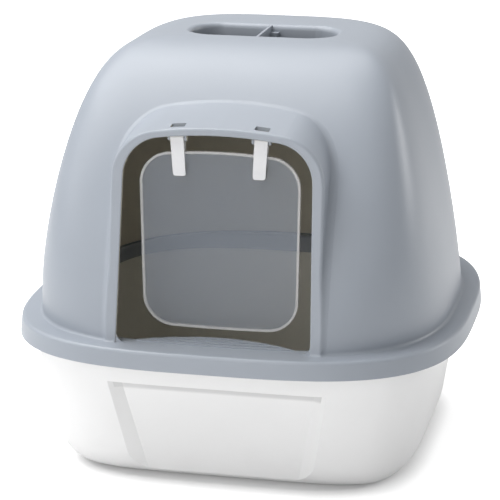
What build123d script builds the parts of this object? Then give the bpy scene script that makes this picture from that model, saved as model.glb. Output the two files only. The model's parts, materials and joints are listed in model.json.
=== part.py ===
import os
from math import atan, cos, radians, sin, sqrt, tan

from build123d import *

# Covered litter box: tub, domed hood, clear swing door and its two hanger clips.
# Millimetres, Z up, front towards -Y. The origin is on the floor, under the middle of the flange.

# Plan outline of the hood's skirt: two half superellipses that meet at the widest line
SKIRT_HALF_WIDTH = 200.0
SKIRT_FRONT_DEPTH = 196.0
SKIRT_REAR_DEPTH = 224.0
WIDEST_LINE_Y = -14.0
SKIRT_FRONT_POWER = 3.2
SKIRT_REAR_POWER = 2.8
OUTLINE_STEP_DEG = 10

# Heights
SKIRT_BOTTOM = 120.0
SKIRT_HEIGHT = 16.0
DOME_HEIGHT = 235.5
FLANGE_TOP = SKIRT_BOTTOM + SKIRT_HEIGHT
CROWN_TOP = FLANGE_TOP + DOME_HEIGHT

# Hood walls
HOOD_WALL = 2.5
SKIRT_DRAFT = 1.5
FLANGE_EDGE_RADIUS = 3.0
DOME_INSET = 17.0
DOME_BASE_POWER_DROP = 0.18
DOME_TOP_FRONT_POWER = 8.0
DOME_TOP_REAR_POWER = 3.6

# How the dome closes towards its crown: lean at the top, bow of the wall, squareness of the shoulder
SIDE_LEAN, SIDE_BOW, SIDE_SHOULDER = 28.5, 1.72, 9.1
FRONT_LEAN, FRONT_BOW, FRONT_SHOULDER = 45.5, 1.79, 2.64
REAR_LEAN, REAR_BOW, REAR_SHOULDER = 36.4, 1.46, 13.4
DOME_LEVELS = (0, 0.15, 0.3, 0.45, 0.58, 0.7, 0.8, 0.88, 0.94, 0.972, 0.988, 0.996, 0.9985)

# Handle well in the crown, with the web across it and the pilaster on its rear wall
WELL_LENGTH = 132.0
WELL_WIDTH = 58.0
WELL_CORNER_RADIUS = 22.0
WELL_CENTRE_Y = 15.0
WELL_DEPTH = 40.0
WELL_OVERSHOOT = 12.0
WELL_DRAFT_DEG = 4.0
WELL_RIM_RADIUS = 4.5
WELL_FLOOR_RADIUS = 6.0
WEB_THICKNESS = 2.2
WEB_DROP = 0.6
PILASTER_WIDTH = 16.5
PILASTER_DROP = 6.0
PILASTER_DEPTH = 6.0
CROWN_SEED_MARGIN = 6.0

# Porch and doorway, drawn on a face that leans back from the flange
FACE_BOTTOM_Y = -187.6
FACE_LEAN = 0.137
PORCH_HALF_WIDTH = 92.5
PORCH_TOP_HALF_WIDTH = 91.0
PORCH_CROWN = 185.1
PORCH_CORNER_RADIUS = 41.0
PORCH_LENGTH = 100.0
PORCH_RISE_DEG = 10.0
PORCH_EDGE_RADIUS = 2.5
PORCH_BLEND_RADIUS = 7.0
DOME_FOOT_RADIUS = 2.5
DOOR_HALF_WIDTH = 84.0
DOOR_TOP_HALF_WIDTH = 80.5
DOOR_CROWN = 178.9
DOOR_CORNER_RADIUS = 34.0
DOOR_FOOT_RADIUS = 9.0
DOORWAY_DEPTH = 4.0
DOOR_EDGE_RADIUS = 1.0
ARCH_RADIUS = 380.0

# Entry step inside the doorway, with ribs that bow forwards
STEP_RADIUS = 134.0
STEP_REACH_Y = -157.0
STEP_HALF_WIDTH = 74.0
RIB_COUNT = 4
RIB_PITCH = 7.0
RIB_WIDTH = 2.4
RIB_HEIGHT = 1.0
RIB_MARGIN = 2.5
RIB_BOW_RADIUS = 620.0

# Inner lip of the hood, inside the tub wall
LIP_CLEARANCE = 1.2
LIP_BOTTOM = 119.0

# Edge of the opening in the flange plate, seen as a narrow ledge all round inside the dome
LEDGE_HALF_WIDTH = 174.0
LEDGE_FRONT_DEPTH = 165.0
LEDGE_REAR_DEPTH = 198.0

# Tub
TUB_HALF_WIDTH = 180.0
TUB_FRONT_DEPTH = 168.0
TUB_REAR_DEPTH = 204.0
TUB_FRONT_POWER = 4.9
TUB_REAR_POWER = 3.4
TUB_FLOOR_REAR_POWER = 4.6
TUB_SIDE_DRAFT = 0.18
TUB_END_DRAFT = 0.24
TUB_WALL = 2.8
TUB_BOTTOM_RADIUS = 36.0
TUB_FLOOR = 4.0
TUB_FOOT_RECESS = 1.5
FOOT_HALF_WIDTH = 100.0
FOOT_FRONT_DEPTH = 82.0
FOOT_REAR_DEPTH = 117.0
RIM_SIDE_CLEARANCE = 1.3
RIM_THICKNESS = 2.5
RIM_LIP_THICKNESS = 2.2
RIM_LIP_DROP = 9.0
RIM_EDGE_RADIUS = 1.2

# Recessed panel in the tub's front
PANEL_TOP = 96.0
PANEL_DROP = 110.0
PANEL_TOP_HALF_WIDTH = 85.0
PANEL_BOTTOM_HALF_WIDTH = 63.0
PANEL_DEPTH = 7.0
PANEL_FLANK_DEG = 65.0
PANEL_SHELF_DEG = 12.0
PANEL_REACH = 14.0
PANEL_CORNER_RADIUS = 4.0

# Swing door and its hinge
HINGE_Y = -156.0
HINGE_Z = 309.0
HINGE_SPACING = 72.0
BAR_RADIUS = 1.5
EAR_THICKNESS = 1.8
EAR_RADIUS = 2.6
EAR_SLOT_MARGIN = 0.1
EAR_HEIGHT = 20.0
SLOT_LENGTH = 12.5
SLOT_WIDTH = 8.0
SLOT_CENTRE_Y = -153.5
SLOT_CORNER_RADIUS = 1.0
FLAP_THICKNESS = 2.0
FLAP_BORDER_THICKNESS = 3.0
FLAP_BORDER_WIDTH = 2.0
FLAP_TOP_HALF_WIDTH = 69.5
FLAP_BOTTOM_HALF_WIDTH = 67.0
FLAP_TOP = 298.5
FLAP_BOTTOM = 143.8
FLAP_TOP_SAG = 5.0
FLAP_BOTTOM_SAG = 1.5
FLAP_TOP_RADIUS = 27.0
FLAP_BOTTOM_RADIUS = 27.0

# Hanger clips
CLIP_WIDTH = 11.4
CLIP_THICKNESS = 1.6
CLIP_FRONT_LENGTH = 32.0
CLIP_REAR_LENGTH = 22.0
CLIP_TAPER = 0.3
CLIP_TIP_LENGTH = 4.0
CLIP_TIP_STEP = 0.4
CLIP_LEAN_DEG = 3.4
CLIP_CORNER_RADIUS = 2.2
CLIP_GAP = 0.3
STUD_RADIUS = 2.0
STUD_CLEARANCE = 0.25
STUD_DROP = 18.0


def outline_point(angle, half_width, front, rear, wide_y, front_power, rear_power):
    """Point of the right half of a plan outline, from -90 degrees at the front to 90 at the rear."""
    power = front_power if angle < 0 else rear_power
    depth = front if angle < 0 else rear
    side = abs(cos(radians(angle))) ** (2 / power)
    reach = abs(sin(radians(angle))) ** (2 / power)
    sign = -1 if angle < 0 else 1
    return (half_width * side, wide_y + sign * depth * reach)


def level(height, half_width, front, rear, wide_y, front_power, rear_power):
    """Right half of a closed plan outline at one height, as a sketch to be lofted or extruded."""
    shape = (half_width, front, rear, wide_y, front_power, rear_power)
    bow = [outline_point(angle, *shape) for angle in range(-90, 91, OUTLINE_STEP_DEG)]
    bow[0] = (0, wide_y - front)
    bow[-1] = (0, wide_y + rear)
    with BuildSketch(Plane.XY.offset(height)) as outline:
        with BuildLine():
            Spline(*bow, tangents=[(1, 0), (-1, 0)])
            Line(bow[-1], bow[0])
        make_face()
    return outline.sketch


def skirt_level(height, inset):
    """Skirt outline at one height, drawn in by inset."""
    return level(
        height,
        SKIRT_HALF_WIDTH - inset,
        SKIRT_FRONT_DEPTH - inset,
        SKIRT_REAR_DEPTH - inset,
        WIDEST_LINE_Y,
        SKIRT_FRONT_POWER,
        SKIRT_REAR_POWER,
    )


def tub_level(height, inset):
    """Tub outline at one height, drawn in by inset; the wall leans out as it rises."""
    side_growth = TUB_SIDE_DRAFT * (height - SKIRT_BOTTOM)
    end_growth = TUB_END_DRAFT * (height - SKIRT_BOTTOM)
    rear_power = TUB_FLOOR_REAR_POWER + (TUB_REAR_POWER - TUB_FLOOR_REAR_POWER) * height / SKIRT_BOTTOM
    return level(
        height,
        TUB_HALF_WIDTH + side_growth - inset,
        TUB_FRONT_DEPTH + end_growth - inset,
        TUB_REAR_DEPTH + end_growth - inset,
        WIDEST_LINE_Y,
        TUB_FRONT_POWER,
        rear_power,
    )


def lip_level(height, inset):
    """Outline of the hood's inner lip at one height: just inside the tub's wall."""
    return tub_level(height, TUB_WALL + LIP_CLEARANCE + inset)


def closing(base, rise, lean, bow, shoulder):
    """Half size of the dome at a share of its height, for one of its sides."""
    return (base - lean * rise) * (1 - rise**bow) ** (1 / shoulder)


def dome_levels(wall):
    """Stack of plan outlines of the dome's outside (wall 0) or inside (wall HOOD_WALL)."""
    inset = DOME_INSET + wall
    height = DOME_HEIGHT - wall
    base_front_power = SKIRT_FRONT_POWER - DOME_BASE_POWER_DROP
    base_rear_power = SKIRT_REAR_POWER - DOME_BASE_POWER_DROP
    walls = [
        level(
            FLANGE_TOP + rise * height,
            closing(SKIRT_HALF_WIDTH - inset, rise, SIDE_LEAN, SIDE_BOW, SIDE_SHOULDER),
            closing(SKIRT_FRONT_DEPTH - inset, rise, FRONT_LEAN, FRONT_BOW, FRONT_SHOULDER),
            closing(SKIRT_REAR_DEPTH - inset, rise, REAR_LEAN, REAR_BOW, REAR_SHOULDER),
            WIDEST_LINE_Y,
            base_front_power + rise * (DOME_TOP_FRONT_POWER - base_front_power),
            base_rear_power + rise * (DOME_TOP_REAR_POWER - base_rear_power),
        )
        for rise in DOME_LEVELS
    ]
    # the crown closes on an outline that lies inside the handle well's mouth
    crown = level(
        FLANGE_TOP + height,
        WELL_LENGTH / 2 - CROWN_SEED_MARGIN,
        WELL_WIDTH / 2 - CROWN_SEED_MARGIN,
        WELL_WIDTH / 2 - CROWN_SEED_MARGIN,
        WELL_CENTRE_Y,
        DOME_TOP_REAR_POWER,
        DOME_TOP_REAR_POWER,
    )
    return walls + [crown]


face_lean = atan(FACE_LEAN)
face_plane = Plane(
    origin=(0, FACE_BOTTOM_Y, FLANGE_TOP),
    x_dir=(1, 0, 0),
    z_dir=(0, -cos(face_lean), sin(face_lean)),
)
porch_direction = (0, cos(radians(PORCH_RISE_DEG)), sin(radians(PORCH_RISE_DEG)))


def arch(plane, foot, foot_half_width, top_half_width, crown, corner_radius):
    """Right half of an arched outline on the porch's face: leaning side, round corner, bowed lintel."""
    sag = ARCH_RADIUS - sqrt(ARCH_RADIUS**2 - top_half_width**2)
    with BuildSketch(plane) as outline:
        with BuildLine():
            Line((0, foot), (foot_half_width, foot))
            Line((foot_half_width, foot), (top_half_width, crown - sag))
            RadiusArc((top_half_width, crown - sag), (0, crown), -ARCH_RADIUS)
            Line((0, crown), (0, foot))
        make_face()
        corner = outline.vertices().filter_by_position(Axis.X, top_half_width - 0.1, top_half_width + 0.1)
        fillet(corner.sort_by(Axis.Y)[-1], corner_radius)
    return outline.sketch


def seam_of(part):
    """Edges where the porch runs back into the dome."""
    return part.edges().filter_by(GeomType.BSPLINE).filter_by(
        lambda edge: edge.center().X > 1
        and edge.center().Y < HINGE_Y + PORCH_LENGTH / 2
        and edge.center().Z > FLANGE_TOP + PORCH_CROWN / 3
    )


# Lip that reaches down inside the tub wall, right half
with BuildPart() as hood_lip:
    lip_top = FLANGE_TOP - HOOD_WALL / 2
    loft([lip_level(LIP_BOTTOM, 0), lip_level(lip_top, 0)])
    loft([lip_level(LIP_BOTTOM, HOOD_WALL), lip_level(lip_top, HOOD_WALL)], mode=Mode.SUBTRACT)

# Cradle of one hinge bar: two rounded ears with the bar between them, right side
with BuildPart() as hinge_cradle:
    ear_offset = SLOT_LENGTH / 2 + EAR_SLOT_MARGIN + EAR_THICKNESS / 2
    for side in (-1, 1):
        ear_plane = Plane.YZ.offset(HINGE_SPACING / 2 + side * ear_offset)
        with BuildSketch(ear_plane):
            with Locations((HINGE_Y, HINGE_Z)):
                Circle(EAR_RADIUS)
            with Locations((HINGE_Y, HINGE_Z + EAR_HEIGHT / 2)):
                Rectangle(2 * EAR_RADIUS, EAR_HEIGHT)
        extrude(amount=EAR_THICKNESS / 2, both=True)
    with BuildSketch(Plane.YZ.offset(HINGE_SPACING / 2)):
        with Locations((HINGE_Y, HINGE_Z)):
            Circle(BAR_RADIUS)
    extrude(amount=ear_offset, both=True)

# Handle well: the open space, or that space with the wall round it
well_floor = CROWN_TOP - WELL_DEPTH
well_narrowing = 2 * WELL_DEPTH * tan(radians(WELL_DRAFT_DEG))


def well_prism(wall):
    """Tapered slot that widens upwards, grown by wall on every side."""
    with BuildPart() as prism:
        with BuildSketch(Plane.XY.offset(well_floor - wall)):
            with Locations((0, WELL_CENTRE_Y)):
                RectangleRounded(
                    WELL_LENGTH - well_narrowing + 2 * wall,
                    WELL_WIDTH - well_narrowing + 2 * wall,
                    WELL_CORNER_RADIUS,
                )
        extrude(amount=WELL_DEPTH + WELL_OVERSHOOT, taper=-WELL_DRAFT_DEG)
        fillet(prism.faces().sort_by(Axis.Z)[0].edges(), WELL_FLOOR_RADIUS)
    return prism.part


# Web across the well, and the pilaster on the well's rear wall, right half
with BuildPart() as well_web:
    web_height = WELL_DEPTH - WEB_DROP
    with Locations((WEB_THICKNESS / 4, WELL_CENTRE_Y, well_floor + web_height / 2)):
        Box(WEB_THICKNESS / 2, WELL_WIDTH + 2 * WELL_RIM_RADIUS, web_height)
    with BuildSketch(Plane.XY.offset(well_floor)):
        with Locations((0, WELL_CENTRE_Y + WELL_WIDTH / 2)):
            RectangleRounded(PILASTER_WIDTH, 2 * PILASTER_DEPTH + well_narrowing, PILASTER_DEPTH / 2)
        with Locations((PILASTER_WIDTH / 2, WELL_CENTRE_Y + WELL_WIDTH / 2)):
            Rectangle(PILASTER_WIDTH, 2 * WELL_WIDTH, mode=Mode.INTERSECT)
    extrude(amount=WELL_DEPTH - PILASTER_DROP)

# Space inside the hood, right half
with BuildPart() as hood_cavity:
    loft(dome_levels(HOOD_WALL))
    inner_arch = arch(
        face_plane.offset(-HOOD_WALL),
        0,
        PORCH_HALF_WIDTH - HOOD_WALL,
        PORCH_TOP_HALF_WIDTH - HOOD_WALL,
        PORCH_CROWN - HOOD_WALL,
        PORCH_CORNER_RADIUS - HOOD_WALL,
    )
    extrude(inner_arch, amount=PORCH_LENGTH, dir=porch_direction)
    plate_bottom = FLANGE_TOP - HOOD_WALL
    loft([skirt_level(SKIRT_BOTTOM, HOOD_WALL), skirt_level(plate_bottom, HOOD_WALL + SKIRT_DRAFT)])
    extrude(
        level(
            FLANGE_TOP - HOOD_WALL,
            LEDGE_HALF_WIDTH,
            LEDGE_FRONT_DEPTH,
            LEDGE_REAR_DEPTH,
            WIDEST_LINE_Y,
            SKIRT_FRONT_POWER,
            SKIRT_REAR_POWER,
        ),
        amount=HOOD_WALL,
    )
    add(well_prism(HOOD_WALL), mode=Mode.SUBTRACT)
    add(hinge_cradle.part, mode=Mode.SUBTRACT)

# Outline of the doorway, right half
doorway = arch(face_plane, 0, DOOR_HALF_WIDTH, DOOR_TOP_HALF_WIDTH, DOOR_CROWN, DOOR_CORNER_RADIUS)


def face_edges(part, of_doorway):
    """Edges on the porch's face above the foot: those of the doorway, or those round the outside."""
    edges = part.edges().filter_by(
        lambda edge: edge.center().X > 1
        and edge.center().Z > FLANGE_TOP + 0.1
        and abs(face_plane.to_local_coords(edge.center()).Z) < 1
    )
    return edges.filter_by(lambda edge: (doorway.distance_to(edge.center()) < 1) == of_doorway)


# Hood, right half: the outside with its blends, opened from within, at the doorway and at the handle well
with BuildPart() as hood:
    loft([skirt_level(SKIRT_BOTTOM, 0), skirt_level(FLANGE_TOP, SKIRT_DRAFT)])
    fillet(hood.faces().sort_by(Axis.Z)[-1].edges().filter_by(GeomType.BSPLINE), FLANGE_EDGE_RADIUS)
    loft(dome_levels(0))
    porch_outline = arch(
        face_plane,
        -SKIRT_HEIGHT / 2,
        PORCH_HALF_WIDTH,
        PORCH_TOP_HALF_WIDTH,
        PORCH_CROWN,
        PORCH_CORNER_RADIUS,
    )
    extrude(porch_outline, amount=PORCH_LENGTH, dir=porch_direction)
    extrude(doorway, amount=DOME_INSET, dir=(0, -1, 0), mode=Mode.SUBTRACT)
    extrude(doorway, amount=DOORWAY_DEPTH, dir=(0, 1, 0), mode=Mode.SUBTRACT)
    fillet(seam_of(hood), PORCH_BLEND_RADIUS)
    foot = hood.edges().filter_by_position(Axis.Z, FLANGE_TOP - 0.01, FLANGE_TOP + 0.01)
    foot = foot.filter_by(lambda edge: edge.center().X > DOOR_HALF_WIDTH + 1)
    fillet(foot.sort_by(Edge.length)[:-1], DOME_FOOT_RADIUS)
    fillet(face_edges(hood, False), PORCH_EDGE_RADIUS)
    fillet(face_edges(hood, True), DOOR_EDGE_RADIUS)
    add(well_prism(0), mode=Mode.SUBTRACT)
    rim = hood.edges().filter_by_position(Axis.Z, CROWN_TOP - 2, CROWN_TOP + 2).filter_by(GeomType.BSPLINE)
    fillet(rim, WELL_RIM_RADIUS)
    add(well_web.part)
    add(hood_cavity.part, mode=Mode.SUBTRACT)
    add(hood_lip.part)

    # rounded foot corner of the doorway, behind the doorway's own rounded edge
    with BuildSketch(face_plane.offset(-DOOR_EDGE_RADIUS)):
        with Locations((DOOR_HALF_WIDTH - DOOR_FOOT_RADIUS / 2, DOOR_FOOT_RADIUS / 2)):
            Rectangle(DOOR_FOOT_RADIUS + 2 * DOOR_EDGE_RADIUS, DOOR_FOOT_RADIUS + 2 * DOOR_EDGE_RADIUS)
        with Locations((DOOR_HALF_WIDTH - DOOR_FOOT_RADIUS, DOOR_FOOT_RADIUS)):
            Circle(DOOR_FOOT_RADIUS, mode=Mode.SUBTRACT)
        with Locations((DOOR_HALF_WIDTH - DOOR_FOOT_RADIUS, 2 * DOOR_FOOT_RADIUS)):
            Rectangle(4 * DOOR_FOOT_RADIUS, 2 * DOOR_FOOT_RADIUS, mode=Mode.SUBTRACT)
        with Locations((DOOR_HALF_WIDTH - 2 * DOOR_FOOT_RADIUS, DOOR_FOOT_RADIUS)):
            Rectangle(2 * DOOR_FOOT_RADIUS, 4 * DOOR_FOOT_RADIUS, mode=Mode.SUBTRACT)
    extrude(amount=DOOR_EDGE_RADIUS - HOOD_WALL)

    # slot in the porch roof, above the hinge bar
    with BuildSketch(Plane.XY.offset(HINGE_Z + BAR_RADIUS)):
        with Locations((HINGE_SPACING / 2, SLOT_CENTRE_Y)):
            RectangleRounded(SLOT_LENGTH, SLOT_WIDTH, SLOT_CORNER_RADIUS)
    extrude(amount=EAR_HEIGHT, mode=Mode.SUBTRACT)

    # entry step with its ribs
    step_centre = (0, STEP_REACH_Y - STEP_RADIUS)
    step_front = FACE_BOTTOM_Y + HOOD_WALL
    step_span = STEP_REACH_Y - step_front
    with BuildSketch(Plane.XY.offset(FLANGE_TOP - HOOD_WALL)):
        with Locations(step_centre):
            Circle(STEP_RADIUS)
        with Locations((STEP_HALF_WIDTH / 2, step_front + step_span / 2)):
            Rectangle(STEP_HALF_WIDTH, step_span, mode=Mode.INTERSECT)
    extrude(amount=HOOD_WALL)
    with BuildSketch(Plane.XY.offset(FLANGE_TOP - HOOD_WALL / 2)):
        for rib in range(RIB_COUNT):
            with Locations((0, step_front + RIB_MARGIN + rib * RIB_PITCH + RIB_BOW_RADIUS)):
                Circle(RIB_BOW_RADIUS)
                Circle(RIB_BOW_RADIUS - RIB_WIDTH, mode=Mode.SUBTRACT)
        with Locations(step_centre):
            Circle(STEP_RADIUS - RIB_MARGIN, mode=Mode.INTERSECT)
        rib_half_width = STEP_HALF_WIDTH - RIB_MARGIN
        with Locations((rib_half_width / 2, step_front + step_span / 2)):
            Rectangle(rib_half_width, step_span, mode=Mode.INTERSECT)
    extrude(amount=RIB_HEIGHT + HOOD_WALL / 2)
    mirror(about=Plane.YZ)
hood.part.label = "hood"

# Recessed panel in the tub's front: its face leans as the wall does
panel_face_y = WIDEST_LINE_Y - TUB_FRONT_DEPTH + TUB_END_DRAFT * (SKIRT_BOTTOM - PANEL_TOP) + PANEL_DEPTH
panel_plane = Plane(origin=(0, panel_face_y, PANEL_TOP), x_dir=(1, 0, 0), z_dir=(0, -1, -TUB_END_DRAFT))
panel_flank = radians(PANEL_FLANK_DEG)
panel_shelf = radians(PANEL_SHELF_DEG)


def panel_outline(reach, wall):
    """Outline of the panel's recess at some distance in front of its face, grown by wall on every side."""
    spread = reach * tan(panel_flank) + wall / cos(panel_flank)
    top = reach * tan(panel_shelf) + wall / cos(panel_shelf)
    top_corner = PANEL_TOP_HALF_WIDTH + spread
    bottom_corner = PANEL_BOTTOM_HALF_WIDTH + spread
    with BuildSketch(panel_plane.offset(reach)) as outline:
        with BuildLine():
            Polyline(
                (-top_corner, top),
                (top_corner, top),
                (bottom_corner, -PANEL_DROP),
                (-bottom_corner, -PANEL_DROP),
                close=True,
            )
        make_face()
    return outline.sketch


def panel_prism(wall):
    """Space in front of the panel's face, flaring out to the front, moved back and grown by wall."""
    with BuildPart() as prism:
        loft([panel_outline(-wall, wall), panel_outline(PANEL_DEPTH + PANEL_REACH, wall)], ruled=True)
        back_edges = prism.faces().sort_by(Axis.Y)[-1].edges()
        fillet(back_edges.sort_by(Axis.Z)[1:], PANEL_CORNER_RADIUS + wall)
    return prism.part


tub_top = FLANGE_TOP - HOOD_WALL

# Space inside the tub, right half
with BuildPart() as tub_cavity:
    loft([tub_level(TUB_FLOOR, TUB_WALL), tub_level(tub_top + TUB_WALL, TUB_WALL)])
    floor_edge = tub_cavity.faces().sort_by(Axis.Z)[0].edges().filter_by(GeomType.BSPLINE)
    fillet(floor_edge, TUB_BOTTOM_RADIUS - TUB_WALL)
    add(panel_prism(TUB_WALL), mode=Mode.SUBTRACT)

# Tub
with BuildPart() as litter_pan:
    loft([tub_level(0, 0), tub_level(tub_top, 0)])
    floor_edge = litter_pan.faces().sort_by(Axis.Z)[0].edges().filter_by(GeomType.BSPLINE)
    fillet(floor_edge, TUB_BOTTOM_RADIUS)
    rim_inset = HOOD_WALL + SKIRT_DRAFT + RIM_SIDE_CLEARANCE
    extrude(skirt_level(tub_top - RIM_THICKNESS, rim_inset), amount=RIM_THICKNESS)
    rim_edge = litter_pan.faces().sort_by(Axis.Z)[-1].edges().filter_by(GeomType.BSPLINE)
    fillet(rim_edge, RIM_EDGE_RADIUS)
    with BuildSketch(Plane.XY.offset(tub_top - RIM_LIP_DROP)):
        add(skirt_level(0, rim_inset))
        add(skirt_level(0, rim_inset + RIM_LIP_THICKNESS), mode=Mode.SUBTRACT)
    extrude(amount=RIM_LIP_DROP - RIM_THICKNESS / 2)
    add(panel_prism(0), mode=Mode.SUBTRACT)
    add(tub_cavity.part, mode=Mode.SUBTRACT)
    extrude(
        level(
            0,
            FOOT_HALF_WIDTH,
            FOOT_FRONT_DEPTH,
            FOOT_REAR_DEPTH,
            WIDEST_LINE_Y,
            TUB_FRONT_POWER,
            TUB_REAR_POWER,
        ),
        amount=TUB_FOOT_RECESS,
        mode=Mode.SUBTRACT,
    )
    mirror(about=Plane.YZ)
litter_pan.part.label = "litter_pan"

# Swing door, hanging in the plane of the hinge axis
door_plane = Plane(origin=(0, HINGE_Y, 0), x_dir=(1, 0, 0), z_dir=(0, -1, 0))
clip_lean = tan(radians(CLIP_LEAN_DEG))
stud_x = HINGE_SPACING / 2 - STUD_DROP * clip_lean
stud_z = HINGE_Z - STUD_DROP


def door_outline(border):
    """Outline of the door; with a border width, only the raised frame along its edge."""
    foot = FLAP_BOTTOM + FLAP_BOTTOM_SAG
    head = FLAP_TOP - FLAP_TOP_SAG
    with BuildSketch(door_plane) as outline:
        with BuildLine():
            ThreePointArc((-FLAP_BOTTOM_HALF_WIDTH, foot), (0, FLAP_BOTTOM), (FLAP_BOTTOM_HALF_WIDTH, foot))
            Line((FLAP_BOTTOM_HALF_WIDTH, foot), (FLAP_TOP_HALF_WIDTH, head))
            ThreePointArc((FLAP_TOP_HALF_WIDTH, head), (0, FLAP_TOP), (-FLAP_TOP_HALF_WIDTH, head))
            Line((-FLAP_TOP_HALF_WIDTH, head), (-FLAP_BOTTOM_HALF_WIDTH, foot))
        make_face()
        fillet(outline.vertices().group_by(Axis.Y)[0], FLAP_BOTTOM_RADIUS)
        fillet(outline.vertices().group_by(Axis.Y)[-1], FLAP_TOP_RADIUS)
        if border:
            offset(amount=-border, mode=Mode.SUBTRACT)
    return outline.sketch


with BuildPart() as door_flap:
    extrude(door_outline(0), amount=FLAP_THICKNESS / 2, both=True)
    extrude(door_outline(FLAP_BORDER_WIDTH), amount=FLAP_BORDER_THICKNESS / 2, both=True)
    with BuildSketch(door_plane):
        with Locations((0, stud_z)):
            with GridLocations(2 * stud_x, 0, 2, 1):
                Circle(STUD_RADIUS + STUD_CLEARANCE)
    extrude(amount=FLAP_BORDER_THICKNESS, both=True, mode=Mode.SUBTRACT)
door_flap.part.label = "door_flap"

# Right hanger clip: a hairpin over the hinge bar, cut to its leaning front view
loop_radius = BAR_RADIUS + CLIP_GAP
clip_radius = loop_radius + CLIP_THICKNESS
with BuildPart() as hinge_clip_right:
    with BuildSketch(Plane.YZ.offset(HINGE_SPACING / 2)):
        with Locations((HINGE_Y, HINGE_Z)):
            Circle(clip_radius)
        with Locations((HINGE_Y, HINGE_Z - CLIP_FRONT_LENGTH / 2)):
            Rectangle(2 * clip_radius, CLIP_FRONT_LENGTH)
        with Locations((HINGE_Y, HINGE_Z)):
            Circle(loop_radius, mode=Mode.SUBTRACT)
        with Locations((HINGE_Y, HINGE_Z - CLIP_FRONT_LENGTH / 2)):
            Rectangle(2 * loop_radius, CLIP_FRONT_LENGTH, mode=Mode.SUBTRACT)
        with Locations((HINGE_Y + clip_radius, HINGE_Z - CLIP_FRONT_LENGTH)):
            Rectangle(2 * clip_radius, 2 * (CLIP_FRONT_LENGTH - CLIP_REAR_LENGTH), mode=Mode.SUBTRACT)
        with Locations((HINGE_Y - clip_radius, HINGE_Z - CLIP_FRONT_LENGTH)):
            Rectangle(2 * CLIP_TIP_STEP, 2 * CLIP_TIP_LENGTH, mode=Mode.SUBTRACT)
    extrude(amount=CLIP_WIDTH, both=True)
    with BuildSketch(door_plane) as clip_front:
        with BuildLine():
            tip_x = HINGE_SPACING / 2 - CLIP_FRONT_LENGTH * clip_lean
            half = CLIP_WIDTH / 2
            Polyline(
                (HINGE_SPACING / 2 - half, HINGE_Z + clip_radius),
                (HINGE_SPACING / 2 + half, HINGE_Z + clip_radius),
                (HINGE_SPACING / 2 + half, HINGE_Z),
                (tip_x + half - CLIP_TAPER, HINGE_Z - CLIP_FRONT_LENGTH),
                (tip_x - half + CLIP_TAPER, HINGE_Z - CLIP_FRONT_LENGTH),
                (HINGE_SPACING / 2 - half, HINGE_Z),
                close=True,
            )
        make_face()
        fillet(clip_front.vertices().group_by(Axis.Y)[0], CLIP_CORNER_RADIUS)
    extrude(amount=2 * clip_radius, both=True, mode=Mode.INTERSECT)
    with BuildSketch(door_plane):
        with Locations((stud_x, stud_z)):
            Circle(STUD_RADIUS)
    extrude(amount=loop_radius + CLIP_THICKNESS / 2, both=True)
hinge_clip_right.part.label = "hinge_clip_right"

with BuildPart() as hinge_clip_left:
    mirror(hinge_clip_right.part, about=Plane.YZ)
hinge_clip_left.part.label = "hinge_clip_left"

os.makedirs("parts", exist_ok=True)
for piece in (litter_pan, hood, door_flap, hinge_clip_left, hinge_clip_right):
    export_step(piece.part, f"parts/{piece.part.label}.step")
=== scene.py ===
import json
import math

import bmesh
import bpy
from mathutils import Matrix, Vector


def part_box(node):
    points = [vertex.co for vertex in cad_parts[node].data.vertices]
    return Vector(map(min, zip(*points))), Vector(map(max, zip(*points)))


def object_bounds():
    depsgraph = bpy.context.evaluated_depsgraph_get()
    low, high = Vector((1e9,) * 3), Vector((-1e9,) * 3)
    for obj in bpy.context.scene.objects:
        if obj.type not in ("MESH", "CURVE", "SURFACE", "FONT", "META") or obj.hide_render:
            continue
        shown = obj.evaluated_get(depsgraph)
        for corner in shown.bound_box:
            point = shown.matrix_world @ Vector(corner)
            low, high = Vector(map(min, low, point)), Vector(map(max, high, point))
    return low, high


# Covered litter box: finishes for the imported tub, hood, swing door and clips, and the stage they stand on.

bl_info = {
    "name": "Covered Litter Box Finishes",
    "version": (1, 0, 0),
    "blender": (4, 5, 0),
    "location": "View3D > Sidebar > Litter Box",
    "description": "Moulded plastics, a clear swing door and a studio stage for a covered litter box",
    "category": "Object",
}

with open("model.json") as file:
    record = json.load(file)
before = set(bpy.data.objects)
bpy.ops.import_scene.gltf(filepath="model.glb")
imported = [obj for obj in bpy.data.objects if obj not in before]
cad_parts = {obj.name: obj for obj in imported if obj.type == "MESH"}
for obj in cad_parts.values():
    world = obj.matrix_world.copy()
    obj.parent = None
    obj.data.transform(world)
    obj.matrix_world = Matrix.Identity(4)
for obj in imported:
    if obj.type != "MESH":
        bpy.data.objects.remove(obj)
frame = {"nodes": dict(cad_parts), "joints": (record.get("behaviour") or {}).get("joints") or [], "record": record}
CAD_BOX = [list(corner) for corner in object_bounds()]
MM = 0.001
BLACK = (0, 0, 0, 1)
WHITE = (1, 1, 1, 1)
NOISE_MIDDLE = 0.5


def slot_colour(slot):
    """Base colour that the record gives a material slot."""
    for material in frame["record"]["materials"]:
        if material["slot"] == slot:
            return tuple(material["base_color"][:3])
    raise RuntimeError(f"the record has no material slot {slot}")


def joint_place(name):
    """Point on the axis of one joint."""
    for joint in frame["joints"]:
        if joint["name"] == name:
            return Vector(joint["pos_m"])
    raise RuntimeError(f"the record has no joint {name}")


def carried_node(name):
    """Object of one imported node."""
    if name not in frame["nodes"]:
        raise RuntimeError(f"the frame has no node {name}")
    return frame["nodes"][name]


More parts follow.
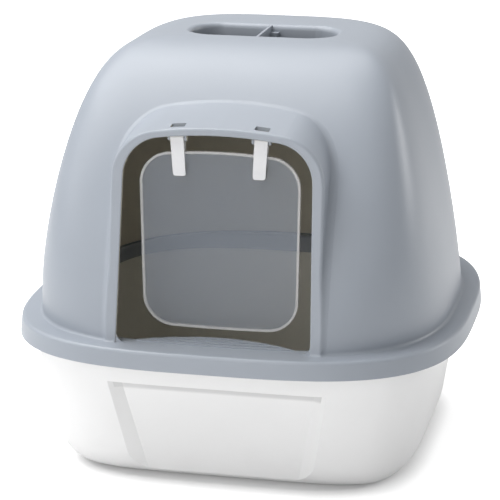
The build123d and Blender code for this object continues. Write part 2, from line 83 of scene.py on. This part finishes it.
class Wire:
    """A number that varies over a surface; arithmetic on it adds Math nodes."""

    def __init__(self, recipe, socket):
        self.recipe = recipe
        self.socket = socket

    def maths(self, operation, *values):
        """Result of one Math node on the given numbers and wires."""
        sockets = dict(enumerate(values))
        return self.recipe.node("ShaderNodeMath", {"operation": operation}, sockets)

    def __add__(self, other):
        return self.maths("ADD", self, other)

    def __radd__(self, other):
        return self.maths("ADD", other, self)

    def __sub__(self, other):
        return self.maths("SUBTRACT", self, other)

    def __rsub__(self, other):
        return self.maths("SUBTRACT", other, self)

    def __mul__(self, other):
        return self.maths("MULTIPLY", self, other)

    def __rmul__(self, other):
        return self.maths("MULTIPLY", other, self)

    def __truediv__(self, other):
        return self.maths("DIVIDE", self, other)

    def __pow__(self, other):
        return self.maths("POWER", self, other)

    def __abs__(self):
        return self.maths("ABSOLUTE", self)

    def __gt__(self, other):
        return self.maths("GREATER_THAN", self, other)

    def __lt__(self, other):
        return self.maths("LESS_THAN", self, other)

    def most(self, other):
        """Larger of two numbers."""
        return self.maths("MAXIMUM", self, other)


# Colour sockets of a Mix node, whose sockets for numbers and vectors have the same names
MIX_FIRST = 6
MIX_SECOND = 7
MIX_RESULT = 2


class Recipe:
    """Node tree of one material or world, from its output backwards."""

    def __init__(self, owner):
        self.owner = owner
        self.owner.use_nodes = True
        self.tree = self.owner.node_tree
        self.tree.nodes.clear()

    def node(self, kind, settings=None, sockets=None, output=0):
        """Adds a node, settings first, then its sockets' values or links. Gives one output as a wire."""
        made = self.tree.nodes.new(kind)
        for key, value in (settings or {}).items():
            setattr(made, key, value)
        for key, value in (sockets or {}).items():
            if isinstance(value, Wire):
                self.tree.links.new(value.socket, made.inputs[key])
            else:
                made.inputs[key].default_value = value
        return Wire(self, made.outputs[output]) if made.outputs else None

    def place(self):
        """Position on the piece in metres."""
        return self.node("ShaderNodeTexCoord", output="Object")

    def facing(self):
        """Direction that the surface faces, in the piece's own axes, so it turns with the piece."""
        return self.node("ShaderNodeTexCoord", output="Normal")

    def parts(self, vector):
        """X, Y and Z of a vector as three wires."""
        return [self.node("ShaderNodeSeparateXYZ", None, {0: vector}, axis) for axis in "XYZ"]

    def noise(self, place, scale, detail):
        """Soft cloudy noise around 0.5 with features of about 1 / scale metres."""
        sockets = {"Vector": place, "Scale": scale, "Detail": detail}
        return self.node("ShaderNodeTexNoise", {"noise_dimensions": "3D"}, sockets, "Fac")

    def blend(self, amount, first, second):
        """Mix of two colours."""
        sockets = {"Factor": amount, MIX_FIRST: first, MIX_SECOND: second}
        return self.node("ShaderNodeMix", {"data_type": "RGBA"}, sockets, MIX_RESULT)

    def clamp(self, value):
        """Number held between 0 and 1."""
        return self.node("ShaderNodeClamp", None, {"Value": value})

    def finish(self, shader):
        """Links the shader to the material's output."""
        self.node("ShaderNodeOutputMaterial", None, {"Surface": shader})
        return self.owner


def solid(colour):
    """Colour with full opacity for a node's socket."""
    return (*colour[:3], 1.0)


def tinted(colour, factor):
    """Colour scaled towards black, or lighter where factor is over 1."""
    return solid([min(1.0, channel * factor) for channel in colour[:3]])


# Moulded plastic

PLASTIC_IOR = 1.5
# Darkest and lightest the clouds make a colour, as shares of it
CLEAN_CLOUDS = (0.97, 1.03)
PAINTED_INSIDE_CLOUDS = (0.94, 1.04)
CLOUD_ROUGHNESS = 0.12
GRAIN_ROUGHNESS = 0.08
INSIDE_ROUGHNESS = 0.12
# A face whose normal rises more than this is a top, and never counts as an inside wall
STEEPEST_TOP = 0.5
# The pocket's mask reaches past its floor, and painted shade darkens the colour towards the floor, down to this
# share of it at the floor
POCKET_REACH = 1.02
POCKET_FLOOR_SHADE = 0.3
# Share of the shelf's band over which its shade sets in
SHELF_EDGE = 0.25
# A panel face turned sideways more than this is its flank
FLANK_TURN = 0.4
# Most of the panel's shade that its flank takes
FLANK_SHADE = 0.55


def pocket_depth(recipe, place, pocket):
    """Whether a point lies in an open pocket, and its depth there from 0 at the mouth to 1 at the floor."""
    half_length, middle, half_width, top, depth = pocket
    across, along, up = recipe.parts(place)
    below = (top - up) / depth
    within = (abs(across) < half_length) * (abs(along - middle) < half_width) * (below < POCKET_REACH)
    return within, within * recipe.clamp(below)


def panel_shade(recipe, place, normal, panel):
    """Soft shade under the shelf of the tub's recessed panel and on its left flank, from 0 to 1."""
    half_width, top, band, foot, front, lean = panel
    across, along, up = recipe.parts(place)
    in_front = (along < -front / 2) * (abs(across) < half_width) * (up < top)
    recessed = along + up * lean > -front
    under_shelf = recessed * recipe.clamp((up - (top - band)) / (SHELF_EDGE * band))
    fade = recipe.clamp((up - foot) / (top - foot))
    flank = (recipe.parts(normal)[0] > FLANK_TURN) * (across < 0) * fade * FLANK_SHADE
    return in_front * under_shelf.most(flank)


def moulded_plastic(name, settings, centre, shade_from=None, pocket=None, panel=None):
    """Satin moulding: spark-eroded grain, faint sink marks, painted light and shade on the inner faces that face
    the centre, and painted shade in an open pocket and under the tub panel's shelf.
    """
    recipe = Recipe(bpy.data.materials.new(name))
    place = recipe.place()
    opening, depth = pocket_depth(recipe, place, pocket) if pocket else (0.0, None)
    grain = recipe.noise(place, 1 / settings.grain_size, detail=3.0)
    waviness = recipe.noise(place, 1 / settings.flow_size, detail=1.0)
    cloud = recipe.noise(place, 1 / settings.cloud_size, detail=3.0)
    from_centre = recipe.node(
        "ShaderNodeVectorMath",
        {"operation": "SUBTRACT"},
        {0: place, 1: centre},
    )
    normal = recipe.facing()
    outward = recipe.node(
        "ShaderNodeVectorMath",
        {"operation": "DOT_PRODUCT"},
        {0: normal, 1: from_centre},
        "Value",
    )
    upward = recipe.parts(normal)[2] > STEEPEST_TOP
    # Painted light and shade: inner faces that face the centre, other than tops and the pocket, take the inside
    # colour in place of their own light and shade
    inside = (outward < 0) * (1 - upward) * (1 - opening)
    # Below shade_from the inner faces keep the outside colour, with no painted light
    if shade_from is not None:
        inside = inside * (recipe.parts(place)[2] > shade_from)
    clean = recipe.blend(cloud, *(tinted(settings.plastic, tone) for tone in CLEAN_CLOUDS))
    # Painted shade: the handle well darkens towards its floor
    if pocket:
        well_floor_shade = tinted(settings.plastic, POCKET_FLOOR_SHADE)
        clean = recipe.blend(depth * settings.well_shade, clean, well_floor_shade)
    if panel:
        shaded = panel_shade(recipe, place, normal, panel) * settings.panel_shade
        clean = recipe.blend(shaded, clean, BLACK)
    # Painted light and shade on the inner faces: the inside colour with its faint clouds
    painted_inside = recipe.blend(cloud, *(tinted(settings.shade, tone) for tone in PAINTED_INSIDE_CLOUDS))
    base = recipe.blend(inside, clean, painted_inside)
    smudge = (cloud - NOISE_MIDDLE) * CLOUD_ROUGHNESS + (grain - NOISE_MIDDLE) * GRAIN_ROUGHNESS
    roughness = smudge + (inside * INSIDE_ROUGHNESS + settings.roughness)
    height = grain * settings.grain_depth + waviness * settings.flow_depth
    bump = recipe.node("ShaderNodeBump", None, {"Height": height, "Distance": 1.0, "Strength": 1.0})
    shader = recipe.node(
        "ShaderNodeBsdfPrincipled",
        None,
        {"Base Color": base, "Roughness": roughness, "Normal": bump, "IOR": PLASTIC_IOR},
    )
    return recipe.finish(shader)


# Clear door

SHEET_IOR = 1.49
# A face turned less than this to the front is part of the sheet's edge
EDGE_TURN = 0.5
STREAK_HAZE = 0.04
SCUFF_ROUGHNESS = 0.06
RIM_ROUGHNESS = 0.15


def clear_sheet(name, settings, mid_plane_y, sheet_half):
    """Clear smoky sheet with a thicker, milkier rim."""
    recipe = Recipe(bpy.data.materials.new(name))
    place = recipe.place()
    facing = recipe.parts(recipe.facing())[1]
    off_plane = abs(recipe.parts(place)[1] - mid_plane_y)
    rim = (off_plane > sheet_half).most(abs(facing) < EDGE_TURN)
    streaks = recipe.noise(place, 1 / settings.flow_size, detail=2.0)
    scuffs = recipe.noise(place, 1 / settings.grain_size, detail=4.0)
    base = recipe.blend(rim, solid(settings.plastic), solid(settings.rim))
    haze = rim * (settings.rim_cover - settings.cover) + settings.cover
    cover = (streaks - NOISE_MIDDLE) * STREAK_HAZE + haze
    roughness = (scuffs - NOISE_MIDDLE) * SCUFF_ROUGHNESS + (rim * RIM_ROUGHNESS + settings.roughness)
    height = streaks * settings.flow_depth
    bump = recipe.node("ShaderNodeBump", None, {"Height": height, "Distance": 1.0, "Strength": 1.0})
    shader = recipe.node(
        "ShaderNodeBsdfPrincipled",
        None,
        {
            "Base Color": base,
            "Roughness": roughness,
            "Alpha": cover,
            "Normal": bump,
            "IOR": SHEET_IOR,
        },
    )
    return recipe.finish(shader)


def dress(node, material):
    """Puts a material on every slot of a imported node."""
    piece = carried_node(node)
    if not piece.material_slots:
        piece.data.materials.append(material)
    for slot in piece.material_slots:
        slot.material = material


# Settings that a user would change


def length(name, description, default):
    """Length setting in metres."""
    return bpy.props.FloatProperty(
        name=name, description=description, default=default, min=0.0, precision=6, unit="LENGTH"
    )


def share(name, description, default):
    """Setting between 0 and 1."""
    return bpy.props.FloatProperty(
        name=name, description=description, default=default, min=0.0, max=1.0, subtype="FACTOR"
    )


def colour(name, description, default):
    """Colour setting."""
    return bpy.props.FloatVectorProperty(
        name=name, description=description, default=default, min=0.0, max=1.0, size=3, subtype="COLOR"
    )


def angle(name, description, degrees):
    """Angle setting, kept in radians."""
    return bpy.props.FloatProperty(
        name=name, description=description, default=math.radians(degrees), subtype="ANGLE"
    )


def power(name, description, default):
    """Lamp power in watts."""
    return bpy.props.FloatProperty(
        name=name, description=description, default=default, min=0.0, subtype="POWER"
    )


class TubSettings(bpy.types.PropertyGroup):
    """Finish of the white tub."""

    plastic: colour("Plastic", "Colour of the tub", (0.9, 0.9, 0.9))
    # Painted light: a lighter, warmer inside colour that stands in for the light inside the tub
    shade: colour("Inside", "Colour of the tub's inside", (0.93, 0.91, 0.83))
    panel_half_width: length("Panel Half Width", "Half the width of the panel with its flanks", 103 * MM)
    panel_top: length("Panel Top", "Height of the front panel's shelf", 97 * MM)
    panel_band: length("Panel Band", "Height of the soft shade under the shelf", 9 * MM)
    flank_foot: length("Flank Foot", "Height down to which the shade on the left flank fades", 30 * MM)
    wall_front: length("Wall Front", "Foot of the front wall in front of the origin", 149.5 * MM)
    wall_lean: share("Wall Lean", "Lean of the tub's front wall per unit of height", 0.24)
    panel_shade: share("Panel Shade", "Darkening under the panel's shelf and on its left flank", 0.24)
    roughness: share("Roughness", "Roughness of the moulded surface", 0.42)
    grain_size: length("Grain Size", "Spacing of the surface grain", 0.45 * MM)
    grain_depth: length("Grain Depth", "Depth of the surface grain", 0.02 * MM)
    flow_size: length("Flow Size", "Spacing of the faint waves in the wall", 60 * MM)
    flow_depth: length("Flow Depth", "Depth of the faint waves in the wall", 0.12 * MM)
    cloud_size: length("Cloud Size", "Spacing of the colour's faint clouds", 90 * MM)


class HoodSettings(bpy.types.PropertyGroup):
    """Finish of the blue-grey hood."""

    plastic: colour("Plastic", "Colour of the hood", (0.33, 0.36, 0.405))
    # Painted light: a much lighter, warmer inside colour that stands in for the warm light inside the hood
    shade: colour("Inside", "Colour of the hood's inside", (0.72, 0.68, 0.58))
    roughness: share("Roughness", "Roughness of the moulded surface", 0.38)
    grain_size: length("Grain Size", "Spacing of the surface grain", 0.4 * MM)
    grain_depth: length("Grain Depth", "Depth of the surface grain", 0.02 * MM)
    flow_size: length("Flow Size", "Spacing of the faint waves in the wall", 70 * MM)
    flow_depth: length("Flow Depth", "Depth of the faint waves in the wall", 0.15 * MM)
    cloud_size: length("Cloud Size", "Spacing of the colour's faint clouds", 110 * MM)
    lip_top: length("Lip Top", "Height up to which the inner lip keeps the outside colour", 136.5 * MM)
    well_length: length("Well Length", "Length of the handle well's mouth", 132 * MM)
    well_width: length("Well Width", "Width of the handle well's mouth", 58 * MM)
    well_depth: length("Well Depth", "Depth of the handle well", 40 * MM)
    well_middle: length("Well Middle", "Middle of the handle well along Y", 15 * MM)
    # Painted shade: how far the handle well darkens towards its floor
    well_shade: share("Well Shade", "How much the handle well darkens towards its floor", 0.95)


class DoorSettings(bpy.types.PropertyGroup):
    """Finish of the clear swing door."""

    plastic: colour("Sheet", "Colour of the sheet's haze", (0.42, 0.47, 0.55))
    rim: colour("Rim", "Colour of the raised rim", (0.82, 0.82, 0.83))
    cover: share("Haze", "How much each face of the sheet hides", 0.22)
    rim_cover: share("Rim Haze", "How much each face of the rim hides", 0.42)
    roughness: share("Roughness", "Roughness of the sheet", 0.12)
    grain_size: length("Scuff Size", "Spacing of the light scuffs", 6 * MM)
    flow_size: length("Flow Size", "Spacing of the faint waves in the sheet", 30 * MM)
    flow_depth: length("Flow Depth", "Depth of the faint waves in the sheet", 0.08 * MM)


class ClipSettings(bpy.types.PropertyGroup):
    """Finish of the two hanger clips."""

    plastic: colour("Plastic", "Colour of the clips", tinted(slot_colour("clip_white"), 0.88)[:3])
    # Painted light and shade: the colour that the clips' inner faces take in place of their own light and shade
    shade: colour("Inside", "Colour of the clips' inner faces", (0.8, 0.8, 0.8))
    roughness: share("Roughness", "Roughness of the moulded surface", 0.3)
    grain_size: length("Grain Size", "Spacing of the surface grain", 0.3 * MM)
    grain_depth: length("Grain Depth", "Depth of the surface grain", 0.008 * MM)
    flow_size: length("Flow Size", "Spacing of the faint waves in the leg", 8 * MM)
    flow_depth: length("Flow Depth", "Depth of the faint waves in the leg", 0.05 * MM)
    cloud_size: length("Cloud Size", "Spacing of the colour's faint clouds", 12 * MM)


class StageSettings(bpy.types.PropertyGroup):
    """Camera, lamps and floor."""

    azimuth: angle("Azimuth", "How far the camera stands to the right of the front", 12.8)
    elevation: angle("Elevation", "How far the camera looks down", 15.7)
    distance: length("Distance", "From the camera to the point it looks at", 2.0403)
    lens: bpy.props.FloatProperty(
        name="Lens", description="Focal length in millimetres", default=159.7, min=1, unit="CAMERA"
    )
    target: bpy.props.FloatVectorProperty(
        name="Target",
        description="Point that the camera looks at",
        default=(-0.0115, 0.0085, 0.1679),
        subtype="TRANSLATION",
    )
    key_power: power("Key Lamp", "Power of the large lamp on the left", 9)
    front_power: power("Front Lamp", "Power of the soft lamp in front", 18.5)
    top_power: power("Top Lamp", "Power of the large lamp above on the left", 48)
    back_power: power("Back Lamp", "Power of the soft lamp above the back", 14.5)
    rim_power: power("Rim Lamp", "Power of the lamp behind on the right", 14)
    ambient: share("Ambient", "Strength of the light from all round", 0.3)
    gloss: share("Gloss", "Strength of the room in reflections", 0.45)
    floor_glow: share("Floor Glow", "White that the camera sees in the floor besides its own light", 0.62)
    # Painted shadow: the lower glow at the tub's foot darkens a ring around it
    contact_glow: share("Contact Glow", "That white right at the tub's foot", 0.12)
    contact_fade: share("Contact Fade", "Width of the fade round the foot, as a share of its size", 0.15)
    foot_half_width: length("Foot Half Width", "Half the width of the tub's foot", 152 * MM)
    foot_half_depth: length("Foot Half Depth", "Half the depth of the tub's foot", 157 * MM)
    foot_middle: length("Foot Middle", "Middle of the tub's foot along Y", 4 * MM)
    far_glow: share("Far Glow", "More of that white far from the object", 0.3)
    glow_start: length("Glow Start", "Distance at which the far glow begins", 0.3)
    glow_reach: length("Glow Reach", "Distance over which the far glow grows", 0.7)
    floor: colour("Floor", "Colour of the floor", (0.78, 0.78, 0.78))


# Stage

FLOOR_HALF_SIDE = 12
SENSOR_WIDTH = 36.0
# Power of the superellipse that follows the tub's foot, and where the fade of the painted contact shadow around it
# starts
FOOT_POWER = 4
FADE_START = 0.97
# Each lamp's power setting, place and size in metres
LAMPS = {
    "key_lamp": ("key_power", (-2.2, -0.8, 1.3), 1.3),
    "front_lamp": ("front_power", (-0.5, -2.6, 0.9), 1.6),
    "rim_lamp": ("rim_power", (2.0, 1.2, 0.8), 1.0),
    "top_lamp": ("top_power", (-0.95, -0.23, 2.15), 1.8),
    "back_lamp": ("back_power", (-0.4, 0.9, 2.3), 1.4),
}


def stage_floor(settings):
    """Large floor with a far edge that the camera never sees, and a painted contact shadow around the tub's foot.
    """
    mesh = bpy.data.meshes.new("stage_floor")
    work = bmesh.new()
    bmesh.ops.create_grid(work, x_segments=2, y_segments=2, size=FLOOR_HALF_SIDE)
    work.to_mesh(mesh)
    work.free()
    floor = bpy.data.objects.new("stage_floor", mesh)
    bpy.context.scene.collection.objects.link(floor)
    recipe = Recipe(bpy.data.materials.new("stage_floor"))
    camera_ray = recipe.node("ShaderNodeLightPath", output="Is Camera Ray")
    glossy_ray = recipe.node("ShaderNodeLightPath", output="Is Glossy Ray")
    seen = camera_ray.most(glossy_ray * settings.gloss)
    matt = recipe.node("ShaderNodeBsdfDiffuse", None, {"Color": solid(settings.floor)})
    place = recipe.place()
    across, along, _ = recipe.parts(place)
    side = abs(across) / settings.foot_half_width
    reach = abs(along - settings.foot_middle) / settings.foot_half_depth
    ring = (side**FOOT_POWER + reach**FOOT_POWER) ** (1 / FOOT_POWER)
    # Partly painted shadow: around the tub's foot the glow drops to contact_glow, so a dark ring shows there on
    # top of the floor's real shadow
    clear = recipe.clamp((ring - FADE_START) / settings.contact_fade)
    distance = recipe.node("ShaderNodeVectorMath", {"operation": "LENGTH"}, {0: place}, "Value")
    far = recipe.clamp((distance - settings.glow_start) / settings.glow_reach)
    near = clear * (settings.floor_glow - settings.contact_glow) + settings.contact_glow
    strength = seen * (far * settings.far_glow + near)
    glow = recipe.node("ShaderNodeEmission", None, {"Strength": strength})
    both = recipe.node("ShaderNodeAddShader", None, {0: matt, 1: glow})
    mesh.materials.append(recipe.finish(both))


def studio_world(settings):
    """Even grey-white room that the camera, gloss and clear plastic see as white."""
    world = bpy.data.worlds.new("studio")
    room = Recipe(world)
    rays = [
        room.node("ShaderNodeLightPath", output=kind)
        for kind in ("Is Camera Ray", "Is Glossy Ray", "Is Transmission Ray")
    ]
    seen = rays[0].most(rays[1] * settings.gloss).most(rays[2])
    strength = seen.most(settings.ambient)
    light = room.node("ShaderNodeBackground", None, {"Color": WHITE, "Strength": strength})
    room.node("ShaderNodeOutputWorld", None, {"Surface": light})
    bpy.context.scene.world = world


def soft_lamp(name, watts, place, size, aim):
    """Square soft lamp that points at aim."""
    data = bpy.data.lights.new(name, "AREA")
    data.shape = "SQUARE"
    data.size = size
    data.energy = watts
    lamp = bpy.data.objects.new(name, data)
    bpy.context.scene.collection.objects.link(lamp)
    lamp.location = place
    lamp.rotation_euler = (Vector(aim) - Vector(place)).to_track_quat("-Z", "Y").to_euler()


def studio_camera(settings):
    """Camera at the photograph's viewing angle."""
    azimuth, elevation = settings.azimuth, settings.elevation
    back = Vector(
        (
            math.sin(azimuth) * math.cos(elevation),
            -math.cos(azimuth) * math.cos(elevation),
            math.sin(elevation),
        )
    )
    data = bpy.data.cameras.new("photo_camera")
    data.sensor_width = SENSOR_WIDTH
    data.sensor_fit = "HORIZONTAL"
    data.lens = settings.lens
    camera = bpy.data.objects.new("photo_camera", data)
    bpy.context.scene.collection.objects.link(camera)
    camera.location = Vector(settings.target) + back * settings.distance
    camera.rotation_euler = (-back).to_track_quat("-Z", "Y").to_euler()
    bpy.context.scene.camera = camera


# Operators

# Height of the cabin's middle as a share of the hood's height
CABIN_SHARE = 0.4
# Half the thickness of the door's sheet, with a margin, as a share of the thickness at its rim
SHEET_SHARE = 0.35


class LITTERBOX_OT_tub(bpy.types.Operator):
    """Give the tub its white moulded finish"""

    bl_idname = "litter_box.tub"
    bl_label = "Finish Tub"

    def execute(self, context):
        settings = context.scene.litter_box_tub
        low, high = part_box("litter_pan")
        centre = (0, (low[1] + high[1]) / 2, high[2])
        panel = (
            settings.panel_half_width,
            settings.panel_top,
            settings.panel_band,
            settings.flank_foot,
            settings.wall_front,
            settings.wall_lean,
        )
        dress("litter_pan", moulded_plastic("tub_plastic", settings, centre, panel=panel))
        return {"FINISHED"}


class LITTERBOX_OT_hood(bpy.types.Operator):
    """Give the hood its blue-grey moulded finish"""

    bl_idname = "litter_box.hood"
    bl_label = "Finish Hood"

    def execute(self, context):
        settings = context.scene.litter_box_hood
        low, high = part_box("hood")
        centre = (0, (low[1] + high[1]) / 2, low[2] + CABIN_SHARE * (high[2] - low[2]))
        well = (
            settings.well_length / 2,
            settings.well_middle,
            settings.well_width / 2,
            high[2],
            settings.well_depth,
        )
        dress("hood", moulded_plastic("hood_plastic", settings, centre, settings.lip_top, well))
        return {"FINISHED"}


class LITTERBOX_OT_door(bpy.types.Operator):
    """Give the swing door its clear smoky finish"""

    bl_idname = "litter_box.door"
    bl_label = "Finish Door"

    def execute(self, context):
        settings = context.scene.litter_box_door
        low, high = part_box("door_flap")
        middle = (low[1] + high[1]) / 2
        sheet_half = SHEET_SHARE * (high[1] - low[1])
        dress("door_flap", clear_sheet("door_sheet", settings, middle, sheet_half))
        return {"FINISHED"}


class LITTERBOX_OT_clips(bpy.types.Operator):
    """Give the two hanger clips their smooth white finish"""

    bl_idname = "litter_box.clips"
    bl_label = "Finish Clips"

    def execute(self, context):
        settings = context.scene.litter_box_clips
        hinge = joint_place("door_swing")
        for side in ("left", "right"):
            node = f"hinge_clip_{side}"
            low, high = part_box(node)
            centre = ((low[0] + high[0]) / 2, hinge.y, (low[2] + high[2]) / 2)
            dress(node, moulded_plastic(f"clip_{side}", settings, centre))
        return {"FINISHED"}


class LITTERBOX_OT_stage(bpy.types.Operator):
    """Set up the floor, the room, the lamps and the camera"""

    bl_idname = "litter_box.stage"
    bl_label = "Set Stage"

    def execute(self, context):
        settings = context.scene.litter_box_stage
        middle = (Vector(CAD_BOX[0]) + Vector(CAD_BOX[1])) / 2
        stage_floor(settings)
        studio_world(settings)
        for lamp, (power_setting, place, size) in LAMPS.items():
            soft_lamp(lamp, getattr(settings, power_setting), place, size, middle)
        studio_camera(settings)
        context.scene.view_settings.view_transform = "Standard"
        return {"FINISHED"}


class LITTERBOX_PT_panel(bpy.types.Panel):
    """Steps and settings of the litter box"""

    bl_idname = "LITTERBOX_PT_panel"
    bl_label = "Covered Litter Box"
    bl_space_type = "VIEW_3D"
    bl_region_type = "UI"
    bl_category = "Litter Box"

    def draw(self, context):
        for name, operator in STEPS.items():
            section = self.layout.box()
            settings = getattr(context.scene, f"litter_box_{name}")
            for setting in SETTINGS[name].__annotations__:
                section.prop(settings, setting)
            section.operator(operator.bl_idname)


SETTINGS = {
    "tub": TubSettings,
    "hood": HoodSettings,
    "door": DoorSettings,
    "clips": ClipSettings,
    "stage": StageSettings,
}
STEPS = {
    "tub": LITTERBOX_OT_tub,
    "hood": LITTERBOX_OT_hood,
    "door": LITTERBOX_OT_door,
    "clips": LITTERBOX_OT_clips,
    "stage": LITTERBOX_OT_stage,
}


def register():
    for kind in (*SETTINGS.values(), *STEPS.values(), LITTERBOX_PT_panel):
        bpy.utils.register_class(kind)
    for name, kind in SETTINGS.items():
        setattr(bpy.types.Scene, f"litter_box_{name}", bpy.props.PointerProperty(type=kind))


def unregister():
    for name in SETTINGS:
        delattr(bpy.types.Scene, f"litter_box_{name}")
    for kind in (LITTERBOX_PT_panel, *STEPS.values(), *SETTINGS.values()):
        bpy.utils.unregister_class(kind)


def main():
    register()
    for name in STEPS:
        getattr(bpy.ops.litter_box, name)()


if __name__ == "__main__":
    main()
